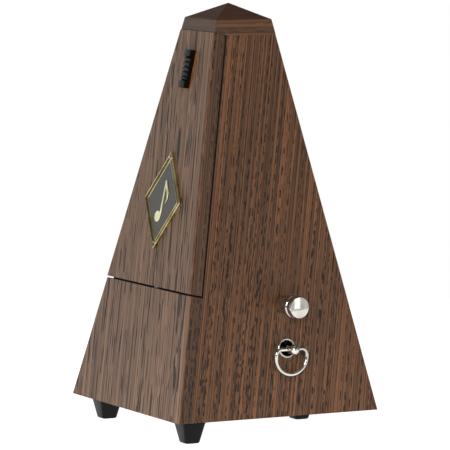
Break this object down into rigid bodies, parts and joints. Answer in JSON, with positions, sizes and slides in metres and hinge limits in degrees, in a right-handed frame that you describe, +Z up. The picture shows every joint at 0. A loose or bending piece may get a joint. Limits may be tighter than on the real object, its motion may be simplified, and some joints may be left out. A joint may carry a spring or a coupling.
{
  "type": "pyramid metronome",
  "caption": "Pyramid-shaped wooden clockwork metronome with a lift-off front cover, sliding catch, winding key with folding ring, bell pull knob and three feet.",
  "frame": {"origin": "centre of the base board's underside, between the feet and 12 mm above the surface the feet stand on", "axes": "+Z up; -Y is the front with the cover and the badge; +X is the side with the winding key and the bell pull"},
  "size_m": [0.1237, 0.117, 0.22],
  "materials": {
    "oak": "satin varnished oak veneer",
    "dial_paint": "satin black paint on a board",
    "black_plastic": "satin moulded",
    "scale_enamel": "satin enamel",
    "nickel": "polished nickel plate",
    "brass": "machined",
    "gilt": "polished stamped",
    "badge_field": "satin dark lacquer",
    "steel": "bright drawn"
  },
  "bodies": {
    "body": {"base_board": "oak", "left_side_panel": "oak", "right_side_panel": "oak", "rear_panel": "oak", "lower_front_panel": "oak", "dial_board": "dial_paint", "roof_cap": "oak", "front_left_foot": "black_plastic", "front_right_foot": "black_plastic", "rear_foot": "black_plastic", "foot_screws": "steel", "tempo_scale": "scale_enamel", "pendulum_clip": "steel", "catch_keeper": "steel", "key_eyelet": "nickel", "pull_rod_bush": "nickel", "left_frame_plate": "brass", "right_frame_plate": "brass", "frame_pillars": "steel", "movement_screws": "steel", "front_bridge": "brass", "rear_bridge": "brass", "escape_cock": "brass", "click_spring": "steel", "bell_gong": "nickel", "bell_post": "steel"},
    "cover": {"cover_panel": "oak", "cover_left_rail": "oak", "cover_right_rail": "oak", "badge_plate": "badge_field", "badge_frame": "gilt", "badge_motif": "gilt", "badge_pins": "gilt", "catch_spring": "steel"},
    "catch": {"catch_grip": "black_plastic", "catch_plate": "steel"},
    "pendulum": {"pendulum_rod": "steel", "verge_staff": "steel", "pallets": "steel", "pendulum_bob": "steel"},
    "weight": {"tempo_weight": "brass", "weight_spring": "steel"},
    "winder": {"winding_arbor": "steel", "ratchet_wheel": "steel", "winding_key": "nickel"},
    "ring": {"key_ring": "nickel"},
    "click": {"click": "steel"},
    "barrel": {"barrel": "brass", "great_wheel": "brass", "mainspring": "steel"},
    "second": {"second_arbor": "steel", "second_wheel": "brass"},
    "escape": {"escape_arbor": "steel", "escape_wheel": "brass", "bell_drive_wheel": "brass"},
    "cam": {"cam_arbor": "steel"},
    "drum": {"cam_drum": "brass"},
    "hammer": {"bell_hammer": "brass"},
    "pull": {"pull_rod": "steel", "pull_knob": "nickel"}
  },
  "joints": [
    {"name": "cover_lift_off", "type": "slide", "parent": "body", "child": "cover", "axis": [0, -0.9787, 0.2055], "range_m": [0, 0.08], "deforming": ["catch_keeper"]},
    {"name": "catch_slide", "type": "slide", "parent": "cover", "child": "catch", "axis": [0, -0.2055, -0.9787], "range_m": [0, 0.004], "stiffness_N_per_m": 300, "springref_m": -0.003, "deforming": ["catch_spring"]},
    {"name": "pendulum_swing", "type": "hinge", "parent": "body", "child": "pendulum", "pos_m": [0, -0.04217, 0.05185], "axis": [0, -0.9787, 0.2055], "range_deg": [-4, 4]},
    {"name": "weight_slide", "type": "slide", "parent": "pendulum", "child": "weight", "axis": [0, 0.2055, 0.9787], "range_m": [-0.045, 0.046]},
    {"name": "key_turn", "type": "hinge", "parent": "body", "child": "winder", "pos_m": [0, 0.0076, 0.0341], "axis": [1, 0, 0], "continuous": true},
    {"name": "key_ring_fold", "type": "hinge", "parent": "winder", "child": "ring", "pos_m": [0.05634, 0.0076, 0.0341], "axis": [0, 1, 0], "range_deg": [-170, 4]},
    {"name": "click_lift", "type": "hinge", "parent": "body", "child": "click", "pos_m": [0.024, 0.02076, 0.03889], "axis": [-1, 0, 0], "range_deg": [0, 10], "stiffness_Nm_per_rad": 0.02, "springref_deg": -5.73, "deforming": ["click_spring"]},
    {"name": "barrel_turn", "type": "hinge", "parent": "body", "child": "barrel", "pos_m": [0, 0.0076, 0.0341], "axis": [1, 0, 0], "continuous": true},
    {"name": "second_turn", "type": "hinge", "parent": "body", "child": "second", "pos_m": [0, -0.01338, 0.0333], "axis": [1, 0, 0], "continuous": true},
    {"name": "escape_turn", "type": "hinge", "parent": "body", "child": "escape", "pos_m": [0, -0.02125, 0.04746], "axis": [1, 0, 0], "continuous": true},
    {"name": "cam_turn", "type": "hinge", "parent": "body", "child": "cam", "pos_m": [0, -0.01043, 0.05371], "axis": [1, 0, 0], "continuous": true},
    {"name": "bell_pull", "type": "slide", "parent": "body", "child": "pull", "axis": [1, 0, 0], "range_m": [0, 0.012]},
    {"name": "drum_shift", "type": "slide", "parent": "cam", "child": "drum", "axis": [1, 0, 0], "range_m": [0, 0.012]},
    {"name": "hammer_lift", "type": "hinge", "parent": "body", "child": "hammer", "pos_m": [0, -0.00103, 0.06011], "axis": [-1, 0, 0], "range_deg": [0, 12], "stiffness_Nm_per_rad": 0.02, "springref_deg": -5.73}
  ],
  "couplings": [
    {"joint": "second_turn", "follows": "barrel_turn", "ratio": -4},
    {"joint": "escape_turn", "follows": "barrel_turn", "ratio": 14},
    {"joint": "cam_turn", "follows": "barrel_turn", "ratio": -36},
    {"joint": "drum_shift", "follows": "bell_pull", "ratio": 1}
  ]
}
